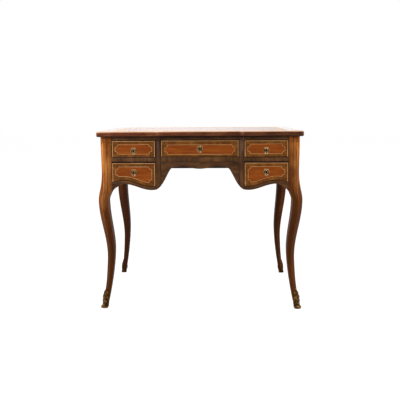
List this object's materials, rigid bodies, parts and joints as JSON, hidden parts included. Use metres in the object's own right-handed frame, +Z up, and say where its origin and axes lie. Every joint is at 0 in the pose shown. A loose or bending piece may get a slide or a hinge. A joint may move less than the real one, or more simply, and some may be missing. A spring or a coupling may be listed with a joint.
{
  "type": "writing desk",
  "caption": "Small kneehole writing desk with a serpentine front, inlaid locking drawers, a leather writing surface and cabriole legs in bronze shoes.",
  "frame": {"origin": "on the floor under the middle of the top", "axes": "+Z up, +X to the right along the front seen from the sitter's side, -Y towards the sitter"},
  "size_m": [0.894, 0.48, 0.77],
  "materials": {
    "walnut": "French-polished red-brown walnut",
    "veneer": "polished veneer with light stringing",
    "oak": "plain unpolished oak lining",
    "leather": "tooled writing leather",
    "bronze": "worn gilt bronze",
    "brass": "aged pale brass",
    "steel": "dull filed steel"
  },
  "bodies": {
    "carcass": {"top_board": "walnut", "writing_leather": "leather", "front_top_rail": "walnut", "stile_left": "veneer", "stile_right": "veneer", "center_rail": "veneer", "apron_center": "veneer", "apron_left": "veneer", "apron_right": "veneer", "back_panel": "walnut", "side_panel_left": "walnut", "side_panel_right": "walnut", "partition_left": "oak", "partition_right": "oak", "dust_board_left": "oak", "dust_board_right": "oak", "center_runner_left": "oak", "center_runner_right": "oak", "lower_runner_inner_left": "oak", "lower_runner_inner_right": "oak", "lower_runner_outer_left": "oak", "lower_runner_outer_right": "oak", "leg_front_left": "walnut", "leg_front_right": "walnut", "leg_rear_left": "walnut", "leg_rear_right": "walnut", "shoe_front_left": "bronze", "shoe_front_right": "bronze", "shoe_rear_left": "bronze", "shoe_rear_right": "bronze"},
    "drawer_center": {"drawer_front_center": "veneer", "drawer_box_center": "oak", "drawer_bottom_center": "oak", "escutcheon_center": "brass", "lock_center": "brass"},
    "drawer_upper_left": {"drawer_front_upper_left": "veneer", "drawer_box_upper_left": "oak", "drawer_bottom_upper_left": "oak", "escutcheon_upper_left": "brass", "lock_upper_left": "brass"},
    "drawer_lower_left": {"drawer_front_lower_left": "veneer", "drawer_box_lower_left": "oak", "drawer_bottom_lower_left": "oak", "escutcheon_lower_left": "brass", "lock_lower_left": "brass"},
    "drawer_upper_right": {"drawer_front_upper_right": "veneer", "drawer_box_upper_right": "oak", "drawer_bottom_upper_right": "oak", "escutcheon_upper_right": "brass", "lock_upper_right": "brass"},
    "drawer_lower_right": {"drawer_front_lower_right": "veneer", "drawer_box_lower_right": "oak", "drawer_bottom_lower_right": "oak", "escutcheon_lower_right": "brass", "lock_lower_right": "brass"},
    "bolt_center": {"lock_bolt_center": "steel"},
    "bolt_upper_left": {"lock_bolt_upper_left": "steel"},
    "bolt_lower_left": {"lock_bolt_lower_left": "steel"},
    "bolt_upper_right": {"lock_bolt_upper_right": "steel"},
    "bolt_lower_right": {"lock_bolt_lower_right": "steel"}
  },
  "joints": [
    {"name": "slide_center", "type": "slide", "parent": "carcass", "child": "drawer_center", "axis": [0, -1, 0], "range_m": [0, 0.3]},
    {"name": "slide_upper_left", "type": "slide", "parent": "carcass", "child": "drawer_upper_left", "axis": [0, -1, 0], "range_m": [0, 0.3]},
    {"name": "slide_lower_left", "type": "slide", "parent": "carcass", "child": "drawer_lower_left", "axis": [0, -1, 0], "range_m": [0, 0.3]},
    {"name": "slide_upper_right", "type": "slide", "parent": "carcass", "child": "drawer_upper_right", "axis": [0, -1, 0], "range_m": [0, 0.3]},
    {"name": "slide_lower_right", "type": "slide", "parent": "carcass", "child": "drawer_lower_right", "axis": [0, -1, 0], "range_m": [0, 0.3]},
    {"name": "bolt_throw_center", "type": "slide", "parent": "drawer_center", "child": "bolt_center", "axis": [0, 0, 1], "range_m": [0, 0.008]},
    {"name": "bolt_throw_upper_left", "type": "slide", "parent": "drawer_upper_left", "child": "bolt_upper_left", "axis": [0, 0, 1], "range_m": [0, 0.008]},
    {"name": "bolt_throw_lower_left", "type": "slide", "parent": "drawer_lower_left", "child": "bolt_lower_left", "axis": [0, 0, 1], "range_m": [0, 0.008]},
    {"name": "bolt_throw_upper_right", "type": "slide", "parent": "drawer_upper_right", "child": "bolt_upper_right", "axis": [0, 0, 1], "range_m": [0, 0.008]},
    {"name": "bolt_throw_lower_right", "type": "slide", "parent": "drawer_lower_right", "child": "bolt_lower_right", "axis": [0, 0, 1], "range_m": [0, 0.008]}
  ]
}
